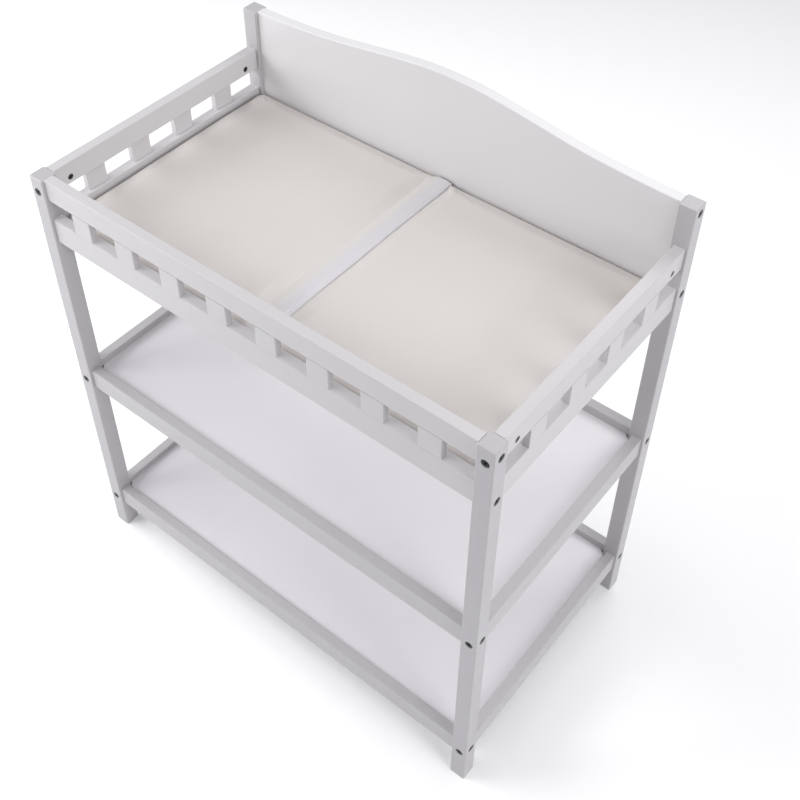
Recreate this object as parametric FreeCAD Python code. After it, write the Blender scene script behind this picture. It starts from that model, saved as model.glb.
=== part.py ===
"""Changing table: four posts, ladder-rail tray with a back panel, two shelves, folding pad.

Millimetres. +X is the user's right, +Y the rear, +Z up.
The origin is on the floor, at the centre of the footprint.
"""
import FreeCAD
import Part
import math
import os

# ---- driving dimensions ----
WIDTH = 864.0            # over the posts, left to right
DEPTH = 502.0            # over the posts, front to rear
FRONT_TOP = 868.0        # top of the front posts and of the tray rails
REAR_TOP = 940.0         # top of the rear posts
POST = 28.5              # square section of every post
POST_EDGE = 2.0          # rounding of the post edges
POST_CROWN = 1.0         # chamfer round the top of a post

RAIL_T = 18.0            # thickness of every rail, bar and of the back panel
INSET = 4.5              # the rails sit back from the outer faces of the posts
RAIL_EDGE = 1.5          # rounding of the long rail edges

UPPER_BAR = (829.5, FRONT_TOP)      # bottom and top of the tray's upper bars
LOWER_BAR = (746.0, 791.5)          # bottom and top of the tray's lower bars
BLOCK_W = 38.2                      # spacer block, along the rail
BLOCK_T = 11.5                      # spacer block, through the rail
BLOCK_EDGE = 1.0                    # rounding of its upright edges
FRONT_PITCH = 94.6                  # spacing of the blocks in the front rail
SIDE_PITCH = 95.0                   # spacing of the blocks in the side rails

# half of the back panel's top edge, from the centre to the post: (x, z)
BACK_CREST = ((0.0, 977.0), (40.0, 976.0), (88.0, 971.4), (138.0, 964.4), (190.0, 956.4),
              (243.0, 949.3), (300.0, 944.4), (355.0, 941.4), (403.5, 940.0))

DECK = (753.0, 762.0)               # bottom and top of the board under the pad
SHELVES = {
    "mid_shelf": {"front": (406.0, 447.5), "side": (406.0, 447.5),
                  "rear": (410.0, 451.5), "panel": (427.5, 433.5)},
    "bottom_shelf": {"front": (68.0, 109.5), "side": (68.0, 109.5),
                     "rear": (72.0, 113.5), "panel": (91.5, 97.5)},
}
GROOVE_D = 3.0           # depth of the grooves that hold the deck and shelf panels
GROOVE_PLAY = 0.4        # the panels stop this far short of the groove bottom
CORNER_PLAY = 0.7        # cut-off panel corners pass this far from the posts

BOLT_R = 3.0
BOLT_HOLE_R = 3.2
BOLT_LEN = 58.0          # under the head
HEAD_R = 6.5
HEAD_H = 5.0
HEAD_EDGE = 0.6          # chamfer round the head
SINK_R = 6.9             # counterbore for the head
SINK_D = 6.0
HEX_AF = 4.0             # across the flats of the socket in the head
HEX_D = 2.8
NUT_R = 5.0
NUT_SEAT = 28.0          # barrel nut centre, from the end of the rail
NUT_PLAY = 0.1           # between a nut and its hole, all round
NUT_LEAD = 1.0           # a nut is sunk this far below the mouth of its hole
NUT_REST = 0.5           # and stays this far from a blind end, or from the panel groove
BLIND_SIDE = 3.0         # wood left outside the nut holes of the side shelf rails
BLIND_FRONT = 2.5        # wood left outside the nut holes of the front rails
BLIND_REAR = 0.8         # wood left between the rear nut holes and the panel groove
BOLT_HOLE_D = 38.0       # depth of the bolt hole in the end of a rail

# bolts through the front and rear faces of the posts, into the side rails
SIDE_BOLT_Z = (841.0, 420.5, 82.0)
# bolts through the outer side faces of the posts, into the front and rear rails
FRONT_BOLT_Z = (848.0, 761.5, 427.5, 89.0)
REAR_BOLT_Z = (926.5, 772.5, 433.0, 96.5)
FRONT_BOLT_Y = -DEPTH / 2 + 15.0
REAR_BOLT_Y = DEPTH / 2 - 13.5

DOWEL_R = 4.0
DOWEL_LEN = 40.0
DOWEL_Z = 783.0

PAD_T = 26.0             # thickness of the pad halves
PAD_GAP = 2.0            # between the pad and the rails around it
PAD_SPLIT = 26.0         # width of the unfilled strip between the halves
PAD_CORNER = 22.0        # plan rounding at the posts
PAD_EDGE = 5.0           # rounding of the pad's rims
PAD_INNER_CORNER = 10.0  # plan rounding beside the strip
PAD_LIFT = 0.3           # rest clearance above the deck
STRIP = (781.2, 783.2)   # bottom and top of the strip that joins the halves
STRIP_SHORT = 1.5        # at each end, against the length of the halves
STRIP_PLAY = 0.3         # the strip is fixed to the left half and stops short of the right one

# ---- derived positions ----
X_OUT = WIDTH / 2
Y_OUT = DEPTH / 2
X_POST = X_OUT - POST                    # inner face of the posts
Y_POST = Y_OUT - POST
X_RAIL = X_OUT - INSET                   # outer face of the side rails
Y_RAIL = Y_OUT - INSET
X_IN = X_RAIL - RAIL_T                   # inner face of the side rails
Y_IN = Y_RAIL - RAIL_T
X_BOLT = X_RAIL - RAIL_T / 2             # bolt axis in the side rails

NODES = {}


def vec(x, y, z):
    return FreeCAD.Vector(x, y, z)


def box(x, y, z):
    """Box from three (low, high) pairs."""
    size = [p[1] - p[0] for p in (x, y, z)]
    return Part.makeBox(size[0], size[1], size[2], vec(x[0], y[0], z[0]))


def rod(radius, start, direction, length):
    return Part.makeCylinder(radius, length, vec(*start), vec(*direction))


def edges_along(shape, axis, test=None):
    """Straight edges of a shape that run along the axis 'x', 'y' or 'z'."""
    found = []
    for edge in shape.Edges:
        if not isinstance(edge.Curve, Part.Line):
            continue
        run = edge.Vertexes[0].Point - edge.Vertexes[1].Point
        along = abs(getattr(run, axis))
        if along > 0.999 * run.Length and (test is None or test(edge.CenterOfMass)):
            found.append(edge)
    return found


def both(a, b):
    """The pair in ascending order."""
    return (min(a, b), max(a, b))


def side_span(sign, near, far):
    """Pair of coordinates on one side of the centre plane."""
    return both(sign * near, sign * far)


# ---- posts ----
def post(sx, sy, top):
    shape = box(side_span(sx, X_POST, X_OUT), side_span(sy, Y_POST, Y_OUT), (0.0, top))
    shape = shape.makeFillet(POST_EDGE, edges_along(shape, "z"))
    crown = [e for e in shape.Edges if e.BoundBox.ZMin > top - 0.01]
    shape = shape.makeChamfer(POST_CROWN, crown)
    for z in SIDE_BOLT_Z:
        shape = shape.cut(bolt_hole((sx * X_BOLT, sy * Y_OUT, z), (0, -sy, 0)))
    for z, y in cross_bolts(sy):
        shape = shape.cut(bolt_hole((sx * X_OUT, y, z), (-sx, 0, 0)))
    start = (sx * X_BOLT, sy * (Y_POST + DOWEL_LEN / 2), DOWEL_Z)
    return shape.cut(rod(DOWEL_R, start, (0, -sy, 0), DOWEL_LEN / 2))


def cross_bolts(sy):
    """Height and depth position of the bolts that run left to right in a post."""
    if sy < 0:
        return [(z, FRONT_BOLT_Y) for z in FRONT_BOLT_Z]
    return [(z, REAR_BOLT_Y) for z in REAR_BOLT_Z]


def bolt_hole(mouth, inward):
    """Counterbored clearance hole through a post."""
    return rod(SINK_R, mouth, inward, SINK_D).fuse(rod(BOLT_HOLE_R, mouth, inward, POST))


def bolt(mouth, inward):
    """Socket-head bolt seated in the counterbore whose mouth is given."""
    seat = [m + d * SINK_D for m, d in zip(mouth, inward)]
    top = [s - d * HEAD_H for s, d in zip(seat, inward)]
    shape = rod(HEAD_R, top, inward, HEAD_H)
    rim = [e for e in shape.Edges if abs((e.CenterOfMass - vec(*top)).Length) < 0.01]
    shape = shape.makeChamfer(HEAD_EDGE, rim)
    shape = shape.fuse(rod(BOLT_R, seat, inward, BOLT_LEN))
    socket = hex_prism(top, inward, HEX_AF, HEX_D)
    return shape.cut(socket)


def hex_prism(centre, direction, across, depth):
    radius = across / math.sqrt(3.0)
    normal = vec(*direction)
    up = vec(0, 0, 1)
    side = normal.cross(up)
    corners = []
    for k in range(7):
        a = math.radians(60.0 * k)
        corners.append(vec(*centre) + side * (radius * math.cos(a)) + up * (radius * math.sin(a)))
    face = Part.Face(Part.makePolygon(corners))
    return face.extrude(normal * depth)


# ---- rails ----
def rail(x, y, z, axis):
    """Straight rail with its long edges eased."""
    shape = box(x, y, z)
    return shape.makeFillet(RAIL_EDGE, edges_along(shape, axis))


def rail_end_cuts(end, inward, nut_axis, nut_start, nut_len):
    """Bolt hole and barrel-nut hole at one end of a rail."""
    cuts = rod(BOLT_HOLE_R, end, inward, BOLT_HOLE_D)
    seat = nut_point(end, inward, nut_axis, nut_start)
    return cuts.fuse(rod(NUT_R + NUT_PLAY, seat, nut_axis, nut_len))


def nut_point(end, inward, nut_axis, nut_start):
    """Where the barrel-nut hole starts, level with the bolt axis."""
    point = [e + d * NUT_SEAT for e, d in zip(end, inward)]
    for i in range(3):
        if nut_axis[i]:
            point[i] = nut_start
    return point


def barrel_nut(end, inward, nut_axis, nut_start, nut_len):
    """Barrel nut with its threaded cross hole on the bolt axis."""
    seat = nut_point(end, inward, nut_axis, nut_start)
    shape = rod(NUT_R, seat, nut_axis, nut_len)
    return shape.cut(rod(BOLT_R, end, inward, NUT_SEAT + 2 * NUT_R))


def side_joint(sx, sy, z):
    """Barrel nut of a side rail: right through the tray bar, blind in the shelf rails."""
    end = (sx * X_BOLT, sy * Y_POST, z)
    inward = (0, -sy, 0)
    if z > LOWER_BAR[1]:
        return end, inward, (sx, 0, 0), sx * X_IN, RAIL_T
    return end, inward, (sx, 0, 0), sx * X_IN, RAIL_T - BLIND_SIDE


def cross_joint(sx, sy, z, y):
    """Barrel nut of a front or rear rail, blind from its hidden face."""
    end = (sx * X_POST, y, z)
    inward = (-sx, 0, 0)
    if sy < 0:
        return end, inward, (0, -1, 0), -Y_IN, RAIL_T - BLIND_FRONT
    return end, inward, (0, -1, 0), Y_RAIL, RAIL_T - GROOVE_D - BLIND_REAR


def fit_nut(joint, lead):
    """Barrel nut inside its hole, sunk below the mouth and clear of the far end."""
    end, inward, axis, start, length = joint
    i = 0 if axis[0] else 1
    right_through = length == RAIL_T
    size = length - lead - (lead if right_through else NUT_REST)
    return barrel_nut(end, inward, axis, start + axis[i] * lead, size)


def grooved(shape, z_pair, x_face=None, y_face=None):
    """Cut the panel groove into the inner face of a rail; faces are signed coordinates."""
    if x_face is not None:
        deep = x_face + math.copysign(GROOVE_D, x_face)
        return shape.cut(box(both(x_face, deep), (-Y_OUT, Y_OUT), z_pair))
    deep = y_face + math.copysign(GROOVE_D, y_face)
    return shape.cut(box((-X_OUT, X_OUT), both(y_face, deep), z_pair))


def long_rail(sy, z_pair, bolt_z, groove=None):
    """Front (sy = -1) or rear (sy = 1) rail between the posts."""
    shape = rail((-X_POST, X_POST), side_span(sy, Y_IN, Y_RAIL), z_pair, "x")
    if groove:
        shape = grooved(shape, groove, y_face=sy * Y_IN)
    y = FRONT_BOLT_Y if sy < 0 else REAR_BOLT_Y
    for z in bolt_z:
        for sx in (-1, 1):
            shape = shape.cut(rail_end_cuts(*cross_joint(sx, sy, z, y)))
    return shape


def short_rail(sx, z_pair, bolt_z, groove=None):
    """Left (sx = -1) or right (sx = 1) rail between the posts."""
    shape = rail(side_span(sx, X_IN, X_RAIL), (-Y_POST, Y_POST), z_pair, "y")
    if groove:
        shape = grooved(shape, groove, x_face=sx * X_IN)
    for z in bolt_z:
        for sy in (-1, 1):
            shape = shape.cut(rail_end_cuts(*side_joint(sx, sy, z)))
    return shape


def inside(z_pair, heights):
    return [z for z in heights if z_pair[0] < z < z_pair[1]]


def spacer_blocks(centres, across, along_x, outer):
    """Row of blocks between the two bars, flush with their outer faces."""
    blocks = []
    inner = outer - math.copysign(BLOCK_T, outer)
    for c in centres:
        run = (c - BLOCK_W / 2, c + BLOCK_W / 2)
        x, y = (run, both(outer, inner)) if along_x else (both(outer, inner), run)
        block = box(x, y, across)
        blocks.append(block.makeFillet(BLOCK_EDGE, edges_along(block, "z")))
    return Part.makeCompound(blocks)


def pitched(count, pitch):
    return [(i - (count - 1) / 2.0) * pitch for i in range(count)]


# ---- back panel ----
def back_panel():
    """Solid panel with a camel-back top edge, grooved for the deck."""
    y0 = Y_IN
    left = [vec(-x, y0, z) for x, z in reversed(BACK_CREST)]
    right = [vec(x, y0, z) for x, z in BACK_CREST[1:]]
    crest = Part.BSplineCurve()
    crest.interpolate(left + right)
    top = crest.toShape()
    a = vec(-X_POST, y0, LOWER_BAR[0])
    b = vec(X_POST, y0, LOWER_BAR[0])
    sides = [Part.makeLine(left[0], a), Part.makeLine(a, b), Part.makeLine(b, right[-1])]
    face = Part.Face(Part.Wire([top] + sides))
    shape = face.extrude(vec(0, RAIL_T, 0))
    crest_edges = [e for e in shape.Edges if isinstance(e.Curve, Part.BSplineCurve)]
    foot = edges_along(shape, "x")
    shape = shape.makeFillet(RAIL_EDGE, crest_edges + foot)
    shape = grooved(shape, DECK, y_face=Y_IN)
    for z in inside((LOWER_BAR[0], REAR_TOP), REAR_BOLT_Z):
        for sx in (-1, 1):
            shape = shape.cut(rail_end_cuts(*cross_joint(sx, 1, z, REAR_BOLT_Y)))
    return shape


# ---- deck and shelf panels ----
def board(z_pair):
    """Panel held in the grooves on all four sides, its corners cut off to pass the posts."""
    x = X_IN + GROOVE_D - GROOVE_PLAY
    y = Y_IN + GROOVE_D - GROOVE_PLAY
    reach = (X_POST - CORNER_PLAY) + (Y_POST - CORNER_PLAY)
    outline = []
    for sx, sy in ((-1, -1), (1, -1), (1, 1), (-1, 1)):
        on_side = vec(sx * x, sy * (reach - x), z_pair[0])
        on_end = vec(sx * (reach - y), sy * y, z_pair[0])
        outline += [on_side, on_end] if sx * sy > 0 else [on_end, on_side]
    outline.append(outline[0])
    return Part.Face(Part.makePolygon(outline)).extrude(vec(0, 0, z_pair[1] - z_pair[0]))


# ---- pad ----
def pad_half(sx):
    """One padded half, corners rounded where they pass the posts."""
    z0 = DECK[1] + PAD_LIFT
    x_far = X_IN - PAD_GAP
    y_far = Y_IN - PAD_GAP
    shape = box(side_span(sx, PAD_SPLIT / 2, x_far), (-y_far, y_far), (z0, z0 + PAD_T))
    outer = edges_along(shape, "z", lambda p: abs(p.x) > X_IN / 2)
    shape = shape.makeFillet(PAD_CORNER, outer)
    inner = edges_along(shape, "z", lambda p: abs(p.x) < PAD_SPLIT)
    shape = shape.makeFillet(PAD_INNER_CORNER, inner)
    rims = [e for e in shape.Edges if e.BoundBox.ZLength < 0.01]
    return shape.makeFillet(PAD_EDGE, rims)


def pad_strip():
    """Unfilled cover between the halves, along which the pad folds."""
    x = PAD_SPLIT / 2
    y = Y_IN - PAD_GAP - STRIP_SHORT
    return box((-x, x - STRIP_PLAY), (-y, y), STRIP)


# ---- assembly ----
CORNERS = (("front_left", -1, -1, FRONT_TOP), ("front_right", 1, -1, FRONT_TOP),
           ("rear_left", -1, 1, REAR_TOP), ("rear_right", 1, 1, REAR_TOP))

for name, sx, sy, top in CORNERS:
    NODES["post_" + name] = post(sx, sy, top)
    bolts = [bolt((sx * X_BOLT, sy * Y_OUT, z), (0, -sy, 0)) for z in SIDE_BOLT_Z]
    nuts = [fit_nut(side_joint(sx, sy, z), NUT_LEAD) for z in SIDE_BOLT_Z]
    lead = GROOVE_D + NUT_REST if sy < 0 else NUT_LEAD
    for z, y in cross_bolts(sy):
        bolts.append(bolt((sx * X_OUT, y, z), (-sx, 0, 0)))
        nuts.append(fit_nut(cross_joint(sx, sy, z, y), lead))
    NODES["bolts_" + name] = Part.makeCompound(bolts)
    NODES["barrel_nuts_" + name] = Part.makeCompound(nuts)

NODES["front_upper_bar"] = long_rail(-1, UPPER_BAR, inside(UPPER_BAR, FRONT_BOLT_Z))
NODES["front_lower_bar"] = long_rail(-1, LOWER_BAR, inside(LOWER_BAR, FRONT_BOLT_Z), DECK)
BLOCK_Z = (LOWER_BAR[1], UPPER_BAR[0])
NODES["front_spacer_blocks"] = spacer_blocks(pitched(8, FRONT_PITCH), BLOCK_Z, True, -Y_RAIL)

DOWELS = []
for name, sx in (("left", -1), ("right", 1)):
    NODES[name + "_upper_bar"] = short_rail(sx, UPPER_BAR, inside(UPPER_BAR, SIDE_BOLT_Z))
    lower = short_rail(sx, LOWER_BAR, [], DECK)
    for sy in (-1, 1):
        start = (sx * X_BOLT, sy * (Y_POST + DOWEL_LEN / 2), DOWEL_Z)
        dowel = rod(DOWEL_R, start, (0, -sy, 0), DOWEL_LEN)
        lower = lower.cut(dowel)
        DOWELS.append(dowel)
    NODES[name + "_lower_bar"] = lower
    blocks = spacer_blocks(pitched(4, SIDE_PITCH), BLOCK_Z, False, sx * X_RAIL)
    NODES[name + "_spacer_blocks"] = blocks
NODES["lower_bar_dowels"] = Part.makeCompound(DOWELS)

NODES["back_panel"] = back_panel()
NODES["tray_deck"] = board(DECK)

for name, z in SHELVES.items():
    front_z = inside(z["front"], FRONT_BOLT_Z)
    NODES[name + "_front_rail"] = long_rail(-1, z["front"], front_z, z["panel"])
    rear_z = inside(z["rear"], REAR_BOLT_Z)
    NODES[name + "_rear_rail"] = long_rail(1, z["rear"], rear_z, z["panel"])
    for side, sx in (("left", -1), ("right", 1)):
        side_z = inside(z["side"], SIDE_BOLT_Z)
        NODES[name + "_" + side + "_rail"] = short_rail(sx, z["side"], side_z, z["panel"])
    NODES[name + "_panel"] = board(z["panel"])

NODES["pad_left_half"] = pad_half(-1)
NODES["pad_right_half"] = pad_half(1)
NODES["pad_hinge_strip"] = pad_strip()

os.makedirs("parts", exist_ok=True)
for name, shape in NODES.items():
    shape.exportStep("parts/" + name + ".step")
    volume = round(shape.Volume / 1000.0, 1)
    print(name, len(shape.Solids), "solids,", volume, "cm3, valid", shape.isValid())
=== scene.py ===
"""Looks of the changing table: painted wood, dark recessed fittings, folding vinyl pad. Light and
shade are partly painted into the colours: lit and shaded levels of the one white paint, and the
shade of the fittings' recesses.

The wood, bolts, nuts and dowels are the CAD's own meshes, and only get materials here.
The two halves of the pad and the strip that joins them are modelled here.
Lengths are in metres.
"""

import bmesh
import bpy
from mathutils import Matrix, Vector, noise
from mathutils.bvhtree import BVHTree


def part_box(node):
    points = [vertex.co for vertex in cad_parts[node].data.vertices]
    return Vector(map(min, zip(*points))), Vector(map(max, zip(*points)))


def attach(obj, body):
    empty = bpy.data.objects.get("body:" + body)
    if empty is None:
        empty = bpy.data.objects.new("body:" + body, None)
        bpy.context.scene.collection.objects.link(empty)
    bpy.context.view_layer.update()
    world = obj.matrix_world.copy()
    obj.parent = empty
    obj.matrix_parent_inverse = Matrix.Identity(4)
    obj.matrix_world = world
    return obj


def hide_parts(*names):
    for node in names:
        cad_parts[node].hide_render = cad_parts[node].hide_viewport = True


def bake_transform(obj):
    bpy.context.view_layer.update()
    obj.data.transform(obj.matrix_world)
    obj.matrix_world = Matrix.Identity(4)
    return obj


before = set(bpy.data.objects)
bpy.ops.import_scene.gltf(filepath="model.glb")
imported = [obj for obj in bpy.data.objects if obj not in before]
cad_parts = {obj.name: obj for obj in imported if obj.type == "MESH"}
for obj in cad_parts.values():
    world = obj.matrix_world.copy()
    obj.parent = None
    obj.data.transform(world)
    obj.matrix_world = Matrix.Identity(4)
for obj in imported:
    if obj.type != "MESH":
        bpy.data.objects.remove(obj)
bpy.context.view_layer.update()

# ---- camera ----
CAMERA_AT = (0.89304, -1.02730, 1.97870)
CAMERA_RIGHT = (0.782893, 0.622113, 0.007329)
CAMERA_DOWN = (0.434095, -0.537769, -0.722749)
CAMERA_FORWARD = (-0.445691, 0.569016, -0.691072)
CAMERA_LENS = 53.461
CAMERA_SENSOR = 36.0
CAMERA_SHIFT_Y = -0.125

# ---- light: name, place, size, watts ----
SKY = (0.97, 0.965, 1.0)
SKY_STRENGTH = 0.27
LIGHTS_AIM_AT = (0, 0, 0.45)
LIGHTS = (
    ("top", (0.3, 0.2, 4.0), 3.0, 11.5),
    ("left", (-2.8, -0.6, 1.5), 2.0, 62.6),
    ("near_left", (-1.4, -1.5, 1.7), 0.9, 21.1),
    ("back_top", (0.2, 2.0, 3.0), 2.0, 33.9),
    ("right_far", (6.0, -0.8, 2.9), 2.5, 142.0),
    ("right_high", (2.4, -0.2, 2.8), 2.0, 24.3),
    ("over_right", (0.7, -0.1, 2.1), 0.9, 1.2),
    ("front_top", (-0.3, -1.4, 2.9), 1.4, 3.6),
)

# ---- floor ----
FLOOR_SIZE = 30.0
FLOOR_DARK = (0.93, 0.93, 0.94)
FLOOR_PALE = (0.94, 0.94, 0.95)
FLOOR_CLOUD = (0.8, 2.0)
FLOOR_ROUGH = 0.9
FLOOR_GLOW = 0.05

# Materials. A noise is (scale, detail), then its stretch and roughness where they differ
# from the usual. A bump is (strength, depth). A band is the part of a noise's range over
# which the colour or roughness goes from its low to its high value.
BAND = (0.3, 0.7)

# ---- paint: one white, with painted light and shade in its levels ----
WHITE = (0.985, 0.957, 1.010)          # a very slightly violet white
SHELF_WHITE = (0.975, 0.945, 1.020)
BOARD_WHITE = (0.985, 0.970, 0.993)
# The real paint is one white. The levels are painted light and shade: the shelf rails and posts are
# shaded copies, and the shelves, back panel and tray deck are lit copies, against the tray's level.
TRAY_LEVEL = 0.579
SHELF_RAIL_SHADED_LEVEL = 0.497
POST_SHADED_LEVEL = 0.470
SHELF_LIT_LEVEL = 0.765
BOARD_LIT_LEVEL = 0.730
PAINT_MOTTLE = 0.975                   # the darker patches, against the level
PAINT_CLOUD = (5.0, 3.0)
PAINT_GRAIN = (14.0, 5.0)
PAINT_GRAIN_ROUGH = 0.6
PAINT_GRAIN_BUMP = (0.10, 0.0006)
PAINT_PEEL = (420.0, 2.0)
PAINT_PEEL_BUMP = (0.05, 0.0002)
PAINT_ROUGH = (0.36, 0.46)
PAINT_COAT = 0.08
PAINT_COAT_ROUGH = 0.30
ACROSS_GRAIN = 14.0                    # the grain is this much finer across than along
WORN_LEVEL = 0.90                      # worn corners, against the level
WORN_TINT = (1.0, 0.98, 0.95)
WORN_POINTINESS = (0.50, 0.62)         # from flat to fully worn
WORN_SHARE = 0.35

# ---- fittings ----
# The bolt and nut levels are dark steel, made darker still by the painted shade of the recesses
# they sit in.
BOLT_DARK_AND_SHADED_LEVEL = 0.035
NUT_DARK_AND_SHADED_LEVEL = 0.06
METAL_DARK = 0.6                       # the darker stains, against the level
METAL_STAINS = (260.0, 4.0)
METAL_BAND = (0.35, 0.65)
METAL_BRUSH = (900.0, 2.0)
METAL_BRUSH_BUMP = (0.15, 0.0001)
METALLIC = 0.9
METAL_ROUGH = (0.28, 0.45)
DOWEL_DARK = (0.42, 0.28, 0.15)
DOWEL_PALE = (0.66, 0.49, 0.30)
DOWEL_GRAIN = (30.0, 6.0, (9.0, 1.0, 9.0), 0.65)
DOWEL_GRAIN_BUMP = (0.25, 0.0005)
DOWEL_ROUGH = (0.55, 0.75)

# ---- vinyl: darker and paler colour ----
CREAM = ((0.575, 0.542, 0.521), (0.608, 0.577, 0.558))
WEB = ((0.557, 0.544, 0.565), (0.602, 0.587, 0.618))
CREAM_ROUGH = 0.42
WEB_ROUGH = 0.40
ROUGH_RANGE = 0.12
CREAM_CREASE = 0.16
WEB_CREASE = 0.30
VINYL_BLOTCH = (3.2, 4.0)
VINYL_BAND = (0.32, 0.68)
VINYL_FOLDS = (9.0, 3.0, (1.0, 2.2, 1.0), 0.55)
VINYL_FOLD_DEPTH = 0.004
PEBBLE_SCALE = 780.0
PEBBLE_BUMP = (0.18, 0.0002)
SHEEN = 0.06
SHEEN_ROUGH = 0.5
WEB_FADE = (0.18, 0.55)                # share of the strip's width where the web's colour comes in

# ---- pad halves ----
VOXEL = 0.005
PAD_CAP = 0.0045                       # how far the filling may push the cover out
PAD_START = 0.0006                     # a half starts this much smaller on every side, then swells
PAD_LOW = 0.0035                       # the top starts this much lower
PAD_CORNERS = (0.018, 0.006)           # plan radii of the outer and inner corners
PAD_EDGE = 0.0035                      # rounding of the rims before the filling softens them
CORNER_SEGMENTS = 6
EDGE_SEGMENTS = 4
SHARP = 1.2                            # radians: an edge that turns by more than this is bevelled
UPRIGHT = 1e-4                         # an edge whose ends differ more than this in height
PAD_PROUD = 0.0008                     # the cover may stand this far out of its CAD solid, sideways
PRESSURE = 4.0
STIFFNESS = 20.0
BENDING = 2.0
SIM_QUALITY = 5
SIM_FRAMES = 20
PINNED_BELOW = 0.0025                  # height above the deck up to which the underside is held
SAG = 0.0011                           # unevenness of the filling
SAG_SCALE = 7.0
SAG_SEED = {"left": 0.3, "right": 4.1}
SAG_ABOVE = 0.012                      # height above the deck from where the skin is uneven

# ---- strip between the halves ----
SPLIT = 0.013                          # half the width of the unfilled strip
STRIP_LEFT = 0.012                     # the strip slides this far under the skin of the left half
STRIP_RIGHT = 0.0060                   # and this far under that of the right half
STRIP_OUT = 0.003                      # clear of the left half's skin after this much more
STRIP_UNDER = 0.0008                   # depth below the skin at its two edges
STRIP_DIVE = 0.006                     # depth of the edges where there is no skin above them
STRIP_LAST = 0.002                     # width of the right edge that is kept under the skin
STRIP_LOW = 0.0042                     # the web lies this far below the top of the pad
STRIP_NOTCH = 0.0011                   # depth of the crease beside the right half
NOTCH_LEAD = 0.003                     # the crease begins this far before the right half
NOTCH_WIDTH = 0.004
NOTCH_SWING = 1.8                      # how unevenly deep the crease is
NOTCH_LEAST = 0.15
STRIP_WAVER = 0.0022                   # how far the crease wanders to either side
STRIP_PUCKER = (0.0011, 0.0004)        # height of the broad and the fine puckers
PUCKER_SCALE = ((45.0, 26.0), (120.0, 80.0))   # across and along the strip, broad and fine
PUCKER_SEED = (1.7, 6.2)
NOTCH_SCALE = 48.0
NOTCH_SEED = 9.1
WAVER_SCALE = 62.0
WAVER_SEED = 3.3
STRIP_THICK = 0.0008
STRIP_COLUMNS = 56
STRIP_ROWS = 300
RAY_START = 0.05                       # rays that look for the skin start this far above the pad


def make_camera():
    data = bpy.data.cameras.new("camera")
    data.sensor_width = CAMERA_SENSOR
    data.lens = CAMERA_LENS
    data.shift_y = CAMERA_SHIFT_Y
    cam = bpy.data.objects.new("camera", data)
    cols = (Vector(CAMERA_RIGHT), -Vector(CAMERA_DOWN), -Vector(CAMERA_FORWARD))
    rotation = Matrix(cols).transposed().to_4x4()
    cam.matrix_world = Matrix.Translation(CAMERA_AT) @ rotation
    bpy.context.scene.collection.objects.link(cam)
    bpy.context.scene.camera = cam


# ---- materials ----
class Nodes:
    """Short-hand for building a node material."""

    def __init__(self, name):
        self.mat = bpy.data.materials.new(name)
        self.mat.use_nodes = True
        self.tree = self.mat.node_tree
        self.bsdf = self.tree.nodes["Principled BSDF"]
        self.coord = self.tree.nodes.new("ShaderNodeTexCoord")

    def add(self, kind, **inputs):
        node = self.tree.nodes.new("ShaderNode" + kind)
        for key, value in inputs.items():
            node.inputs[key.replace("_", " ")].default_value = value
        return node

    def link(self, a, out, b, into):
        self.tree.links.new(a.outputs[out], b.inputs[into])

    def shader(self, **inputs):
        for key, value in inputs.items():
            self.bsdf.inputs[key.replace("_", " ")].default_value = value

    def noise(self, scale, detail=4.0, stretch=(1, 1, 1), rough=0.5):
        mapping = self.add("Mapping", Scale=stretch)
        self.link(self.coord, "Object", mapping, "Vector")
        node = self.add("TexNoise", Scale=scale, Detail=detail, Roughness=rough)
        self.link(mapping, "Vector", node, "Vector")
        return node

    def ramp(self, source, out, low, high):
        """Goes from one (position, colour) to another."""
        ramp = self.add("ValToRGB")
        for stop, (at, colour) in zip(ramp.color_ramp.elements, (low, high)):
            stop.position = at
            stop.color = (*colour, 1.0)
        self.link(source, out, ramp, "Fac")
        return ramp

    def bump(self, source, out, strength, distance, after=None):
        node = self.add("Bump", Strength=strength, Distance=distance)
        self.link(source, out, node, "Height")
        if after:
            self.link(after, "Normal", node, "Normal")
        return node

    def roughness(self, source, low, high):
        node = self.add("MapRange", From_Min=BAND[0], From_Max=BAND[1], To_Min=low, To_Max=high)
        self.link(source, "Fac", node, "Value")
        self.link(node, "Result", self.bsdf, "Roughness")


def grey(level, tint=(1.0, 1.0, 1.0)):
    return tuple(level * t for t in tint)


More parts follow.
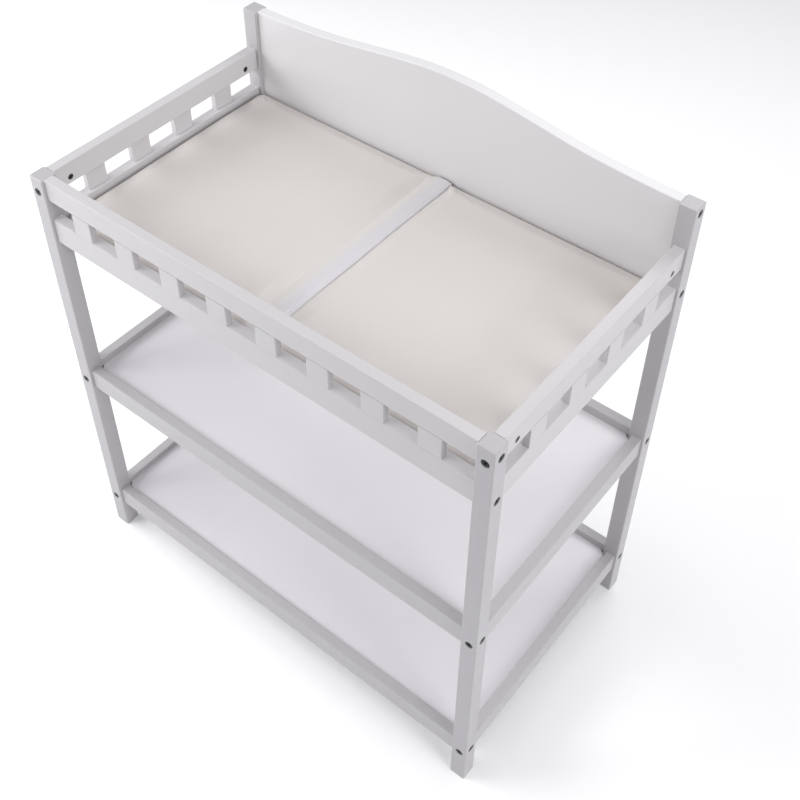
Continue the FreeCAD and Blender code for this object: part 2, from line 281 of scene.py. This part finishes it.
def painted(name, level, along, tint=WHITE):
    """Satin white paint at a level that paints in light or shade for the kind of piece; the brushed
    grain runs along one axis.
    """
    n = Nodes(name)
    cloud = n.noise(*PAINT_CLOUD)
    dark = grey(level * PAINT_MOTTLE, tint)
    tone = n.ramp(cloud, "Fac", (BAND[0], dark), (BAND[1], grey(level, tint)))
    stretch = [ACROSS_GRAIN] * 3
    stretch["xyz".index(along)] = 1.0
    grain = n.noise(*PAINT_GRAIN, tuple(stretch), PAINT_GRAIN_ROUGH)
    peel = n.noise(*PAINT_PEEL)
    # worn paint: the corners are a little darker and duller
    geometry = n.add("NewGeometry")
    flat_at, worn_at = WORN_POINTINESS
    worn = n.ramp(geometry, "Pointiness", (flat_at, grey(0)), (worn_at, grey(1)))
    mix = n.add("MixRGB", Color2=(*grey(level * WORN_LEVEL, WORN_TINT), 1.0))
    n.link(tone, "Color", mix, "Color1")
    fade = n.add("Math")
    fade.operation = "MULTIPLY"
    fade.inputs[1].default_value = WORN_SHARE
    n.link(worn, "Color", fade, 0)
    n.link(fade, "Value", mix, "Fac")
    n.link(mix, "Color", n.bsdf, "Base Color")
    n.roughness(cloud, *PAINT_ROUGH)
    first = n.bump(grain, "Fac", *PAINT_GRAIN_BUMP)
    second = n.bump(peel, "Fac", *PAINT_PEEL_BUMP, first)
    n.link(second, "Normal", n.bsdf, "Normal")
    n.shader(Coat_Weight=PAINT_COAT, Coat_Roughness=PAINT_COAT_ROUGH)
    return n.mat


# Dark steel; the low level also holds the painted shade of the fitting's recess.
def dark_metal_and_shade(name, level):
    n = Nodes(name)
    stain = n.noise(*METAL_STAINS)
    low, high = METAL_BAND
    tone = n.ramp(stain, "Fac", (low, grey(level * METAL_DARK)), (high, grey(level)))
    n.link(tone, "Color", n.bsdf, "Base Color")
    n.shader(Metallic=METALLIC)
    n.roughness(stain, *METAL_ROUGH)
    brushed = n.noise(*METAL_BRUSH)
    n.link(n.bump(brushed, "Fac", *METAL_BRUSH_BUMP), "Normal", n.bsdf, "Normal")
    return n.mat


def bare_wood(name):
    n = Nodes(name)
    grain = n.noise(*DOWEL_GRAIN)
    tone = n.ramp(grain, "Fac", (BAND[0], DOWEL_DARK), (BAND[1], DOWEL_PALE))
    n.link(tone, "Color", n.bsdf, "Base Color")
    n.roughness(grain, *DOWEL_ROUGH)
    n.link(n.bump(grain, "Fac", *DOWEL_GRAIN_BUMP), "Normal", n.bsdf, "Normal")
    return n.mat


def vinyl(name, colours, rough, crease):
    """Wipe-clean vinyl: fine pebble grain, faint blotches, shallow creases."""
    n = Nodes(name)
    blotch = n.noise(*VINYL_BLOTCH)
    low, high = zip(VINYL_BAND, colours)
    tone = n.ramp(blotch, "Fac", low, high)
    n.link(tone, "Color", n.bsdf, "Base Color")
    n.roughness(blotch, rough, rough + ROUGH_RANGE)
    pebble = n.add("TexVoronoi", Scale=PEBBLE_SCALE)
    n.link(n.coord, "Object", pebble, "Vector")
    folds = n.noise(*VINYL_FOLDS)
    first = n.bump(folds, "Fac", crease, VINYL_FOLD_DEPTH)
    second = n.bump(pebble, "Distance", *PEBBLE_BUMP, first)
    n.link(second, "Normal", n.bsdf, "Normal")
    n.shader(Sheen_Weight=SHEEN, Sheen_Roughness=SHEEN_ROUGH)
    return n.mat


def strip_vinyl(name, cover):
    """Vinyl whose colour goes from that of the cover to the paler web, across the strip."""
    mat = vinyl(name, WEB, WEB_ROUGH, WEB_CREASE)
    tree = mat.node_tree
    bsdf = tree.nodes["Principled BSDF"]
    blotch = bsdf.inputs["Base Color"].links[0].from_socket
    across = tree.nodes.new("ShaderNodeAttribute")
    across.attribute_name = "across"
    fade = tree.nodes.new("ShaderNodeMapRange")
    fade.inputs["From Min"].default_value = WEB_FADE[0]
    fade.inputs["From Max"].default_value = WEB_FADE[1]
    mix = tree.nodes.new("ShaderNodeMixRGB")
    mix.inputs["Color1"].default_value = (*cover, 1.0)
    tree.links.new(across.outputs["Fac"], fade.inputs["Value"])
    tree.links.new(fade.outputs["Result"], mix.inputs["Fac"])
    tree.links.new(blotch, mix.inputs["Color2"])
    tree.links.new(mix.outputs["Color"], bsdf.inputs["Base Color"])
    return mat


def axis_of(node):
    """Longest axis of a CAD node."""
    lo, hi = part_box(node)
    size = hi - lo
    return "xyz"[max(range(3), key=lambda i: size[i])]


def paint_frame():
    """Gives each CAD node of the table its material."""
    # lit and shaded copies of one white paint: the level of each kind of piece is painted light or
    # shade
    tray = {a: painted("painted_tray_" + a, TRAY_LEVEL, a) for a in "xyz"}
    rails = {a: painted("painted_rail_shaded_" + a, SHELF_RAIL_SHADED_LEVEL, a) for a in "xy"}
    posts = painted("painted_post", POST_SHADED_LEVEL, "z")
    shelf = painted("painted_shelf", SHELF_LIT_LEVEL, "x", SHELF_WHITE)
    board = painted("painted_board", BOARD_LIT_LEVEL, "x", BOARD_WHITE)
    bolts = dark_metal_and_shade("dark_bolt_steel_and_recess_shade", BOLT_DARK_AND_SHADED_LEVEL)
    nuts = dark_metal_and_shade("dark_nut_steel_and_recess_shade", NUT_DARK_AND_SHADED_LEVEL)
    dowel = bare_wood("bare_dowel_wood")
    for name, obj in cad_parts.items():
        if name.startswith("pad_"):
            continue
        if name.startswith("bolts"):
            mat = bolts
        elif name.startswith("barrel_nuts"):
            mat = nuts
        elif name.endswith("dowels"):
            mat = dowel
        elif name.endswith("shelf_panel"):
            mat = shelf
        elif name in ("back_panel", "tray_deck"):
            mat = board
        elif name.startswith("post_"):
            mat = posts
        elif name.endswith("spacer_blocks"):
            mat = tray["z"]
        elif "_shelf_" in name:
            mat = rails[axis_of(name)]
        else:
            mat = tray[axis_of(name)]
        for slot in obj.material_slots:
            slot.material = mat


# ---- pad halves ----
def rounded_slab(name, lo, hi, corners, edge):
    """Closed slab with soft rims; the two plan corner radii are (outer, inner)."""
    bm = bmesh.new()
    bmesh.ops.create_cube(bm, size=1.0)
    size, mid = hi - lo, (lo + hi) / 2
    bmesh.ops.scale(bm, vec=size, verts=bm.verts)
    bmesh.ops.translate(bm, vec=mid, verts=bm.verts)
    for radius, outer in zip(corners, (True, False)):
        upright = [
            e for e in bm.edges
            if abs(e.verts[0].co.z - e.verts[1].co.z) > UPRIGHT
            and (abs(e.verts[0].co.x) > abs(mid.x)) == outer
            and abs(e.calc_face_angle(0.0)) > SHARP
        ]
        bmesh.ops.bevel(
            bm, geom=upright, offset=radius, segments=CORNER_SEGMENTS, profile=0.5, affect="EDGES"
        )
    rims = [e for e in bm.edges if abs(e.calc_face_angle(0.0)) > SHARP]
    bmesh.ops.bevel(
        bm, geom=rims, offset=edge, segments=EDGE_SEGMENTS, profile=0.5, affect="EDGES"
    )
    return link_mesh(bm, name)


def link_mesh(bm, name):
    """Turns a bmesh into an object of the scene."""
    mesh = bpy.data.meshes.new(name)
    bm.to_mesh(mesh)
    bm.free()
    obj = bpy.data.objects.new(name, mesh)
    bpy.context.scene.collection.objects.link(obj)
    return obj


def shade_smooth(mesh):
    for poly in mesh.polygons:
        poly.use_smooth = True


def apply_modifier(obj, mod):
    with bpy.context.temp_override(object=obj, active_object=obj, selected_objects=[obj]):
        bpy.ops.object.modifier_apply(modifier=mod.name)


def swell(obj, floor_z):
    """Fills the cover by cloth simulation; the underside stays flat on the deck."""
    rest = [v.co.copy() for v in obj.data.vertices]
    pins = obj.vertex_groups.new(name="pin")
    held = [i for i, c in enumerate(rest) if c.z < floor_z + PINNED_BELOW]
    pins.add(held, 1.0, "ADD")
    cloth = obj.modifiers.new("cloth", "CLOTH")
    cloth.settings.vertex_group_mass = "pin"
    cloth.settings.use_pressure = True
    cloth.settings.uniform_pressure_force = PRESSURE
    cloth.settings.effector_weights.gravity = 0.0
    cloth.settings.quality = SIM_QUALITY
    cloth.settings.tension_stiffness = STIFFNESS
    cloth.settings.compression_stiffness = STIFFNESS
    cloth.settings.bending_stiffness = BENDING
    cloth.point_cache.frame_start = 1
    cloth.point_cache.frame_end = SIM_FRAMES
    scene = bpy.context.scene
    for f in range(1, SIM_FRAMES + 1):
        scene.frame_set(f)
    graph = bpy.context.evaluated_depsgraph_get()
    moved = [v.co.copy() for v in obj.evaluated_get(graph).data.vertices]
    obj.modifiers.remove(cloth)
    scene.frame_set(1)
    for v, a, b in zip(obj.data.vertices, rest, moved):
        step = b - a
        if step.length > PAD_CAP:
            step *= PAD_CAP / step.length
        v.co = a + step


def fill_space(obj, lo, hi):
    """Stretches the cushion sideways until it fills its space again."""
    verts = obj.data.vertices
    for axis in (0, 1):
        low = min(v.co[axis] for v in verts)
        scale = (hi[axis] - lo[axis]) / (max(v.co[axis] for v in verts) - low)
        for v in verts:
            v.co[axis] = lo[axis] + (v.co[axis] - low) * scale


def make_pad(side, body, material):
    node = "pad_%s_half" % side
    lo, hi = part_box(node)
    inset = Vector((PAD_START, PAD_START, 0.0))
    low = Vector((0.0, 0.0, PAD_LOW))
    name = "pad_%s_cushion" % side
    obj = rounded_slab(name, lo + inset, hi - inset - low, PAD_CORNERS, PAD_EDGE)
    remesh = obj.modifiers.new("remesh", "REMESH")
    remesh.mode = "VOXEL"
    remesh.voxel_size = VOXEL
    apply_modifier(obj, remesh)
    swell(obj, lo.z)
    fill_space(obj, lo, hi)
    for v in obj.data.vertices:
        p = v.co
        sag = noise.noise(Vector((p.x * SAG_SCALE, p.y * SAG_SCALE, SAG_SEED[side])))
        if p.z > lo.z + SAG_ABOVE:
            p.z += SAG * sag
        for i, proud in enumerate((PAD_PROUD, PAD_PROUD, 0.0)):
            p[i] = min(max(p[i], lo[i] - proud), hi[i] + proud)
    smooth = obj.modifiers.new("smooth", "SUBSURF")
    smooth.levels = smooth.render_levels = 1
    apply_modifier(obj, smooth)
    fill_space(obj, lo, hi)
    shade_smooth(obj.data)
    obj.data.materials.append(material)
    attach(obj, body)
    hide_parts(node)
    return obj


# ---- strip between the halves ----
def smooth_step(t):
    t = min(max(t, 0.0), 1.0)
    return t * t * (3.0 - 2.0 * t)


def skin_height(tree, x, y, top):
    """Height of a cushion's skin under a point above it."""
    hit = tree.ray_cast(Vector((x, y, top + RAY_START)), Vector((0.0, 0.0, -1.0)))[0]
    return hit.z if hit else top - STRIP_DIVE


def strip_height(x, y, top, left, right):
    """The web comes out from under the left half, lies slack, and dips beside the right."""
    web = top - STRIP_LOW
    pucker, fine = (
        noise.noise(Vector((x * across, y * along, seed)))
        for (across, along), seed in zip(PUCKER_SCALE, PUCKER_SEED)
    )
    web += STRIP_PUCKER[0] * pucker + STRIP_PUCKER[1] * fine
    start, end = -SPLIT - STRIP_LEFT, SPLIT + STRIP_RIGHT
    out = smooth_step((x - start) / (STRIP_LEFT + STRIP_OUT))
    web = (skin_height(left, start, y, top) - STRIP_UNDER) * (1.0 - out) + web * out
    swing = NOTCH_SWING * noise.noise(Vector((0.0, y * NOTCH_SCALE, NOTCH_SEED)))
    depth = STRIP_NOTCH * max(NOTCH_LEAST, 1.0 + swing)
    slip = STRIP_WAVER * noise.noise(Vector((0.0, y * WAVER_SCALE, WAVER_SEED)))
    web -= depth * smooth_step((x - SPLIT + NOTCH_LEAD + slip) / NOTCH_WIDTH)
    if x > end - STRIP_LAST:
        web = min(web, skin_height(right, x, y, top) - STRIP_UNDER)
    return web


def strip_mesh(lo, hi, top, left, right):
    """Closed sheet of two layers; 'across' runs from 0 at its left edge to 1 at its right."""
    start, end = -SPLIT - STRIP_LEFT, SPLIT + STRIP_RIGHT
    bm = bmesh.new()
    across = bm.verts.layers.float.new("across")
    layers = []
    for layer in (0, 1):
        grid = []
        for j in range(STRIP_ROWS + 1):
            y = lo.y + (hi.y - lo.y) * j / STRIP_ROWS
            line = []
            for i in range(STRIP_COLUMNS + 1):
                t = i / STRIP_COLUMNS
                x = start + (end - start) * t
                z = strip_height(x, y, top, left, right) - STRIP_THICK * layer
                vert = bm.verts.new((x, y, z))
                vert[across] = t
                line.append(vert)
            grid.append(line)
        layers.append(grid)
        for j in range(STRIP_ROWS):
            for i in range(STRIP_COLUMNS):
                quad = [grid[j][i], grid[j][i + 1], grid[j + 1][i + 1], grid[j + 1][i]]
                bm.faces.new(quad if layer == 0 else quad[::-1])
    rims = []
    for g in layers:
        front, right_side = g[0], [r[-1] for r in g[1:]]
        rear, left_side = g[-1][-2::-1], [r[0] for r in g[-2:0:-1]]
        rims.append([*front, *right_side, *rear, *left_side])
    for k in range(len(rims[0])):
        m = (k + 1) % len(rims[0])
        bm.faces.new((rims[0][m], rims[0][k], rims[1][k], rims[1][m]))
    bmesh.ops.recalc_face_normals(bm, faces=bm.faces)
    return bm


def make_strip(material, halves):
    """Unfilled cover between the halves, slack and puckered across."""
    lo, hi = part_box("pad_hinge_strip")
    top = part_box("pad_left_half")[1].z
    graph = bpy.context.evaluated_depsgraph_get()
    left, right = (BVHTree.FromObject(half, graph) for half in halves)
    obj = link_mesh(strip_mesh(lo, hi, top, left, right), "pad_fold_strip")
    mesh = obj.data
    shade_smooth(mesh)
    mesh.materials.append(material)
    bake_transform(obj)
    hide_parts("pad_hinge_strip")


# ---- floor and light ----
def make_floor():
    bpy.ops.mesh.primitive_plane_add(size=FLOOR_SIZE, location=(0, 0, 0))
    floor = bpy.context.object
    floor.name = "floor"
    n = Nodes("floor_paper")
    cloud = n.noise(*FLOOR_CLOUD)
    tone = n.ramp(cloud, "Fac", (BAND[0], FLOOR_DARK), (BAND[1], FLOOR_PALE))
    n.link(tone, "Color", n.bsdf, "Base Color")
    n.shader(
        Roughness=FLOOR_ROUGH,
        Emission_Color=(1.0, 1.0, 1.0, 1.0),
        Emission_Strength=FLOOR_GLOW,
    )
    floor.data.materials.append(n.mat)


def area_light(name, at, size, power):
    data = bpy.data.lights.new(name, "AREA")
    data.shape = "SQUARE"
    data.size = size
    data.energy = power
    light = bpy.data.objects.new(name, data)
    light.location = at
    light.rotation_mode = "QUATERNION"
    aim = Vector(LIGHTS_AIM_AT) - Vector(at)
    light.rotation_quaternion = aim.to_track_quat("-Z", "Y")
    bpy.context.scene.collection.objects.link(light)


def make_light():
    world = bpy.data.worlds.new("world")
    world.use_nodes = True
    back = world.node_tree.nodes["Background"]
    back.inputs["Color"].default_value = (*SKY, 1.0)
    back.inputs["Strength"].default_value = SKY_STRENGTH
    bpy.context.scene.world = world
    for name, at, size, power in LIGHTS:
        area_light(name, at, size, power)


make_camera()
paint_frame()
cream = vinyl("cream_vinyl", CREAM, CREAM_ROUGH, CREAM_CREASE)
pale = strip_vinyl("pale_vinyl", CREAM[1])
cushions = [make_pad(side, "pad_" + side, cream) for side in ("left", "right")]
make_strip(pale, cushions)
make_floor()
make_light()
bpy.context.scene.view_settings.view_transform = "Standard"
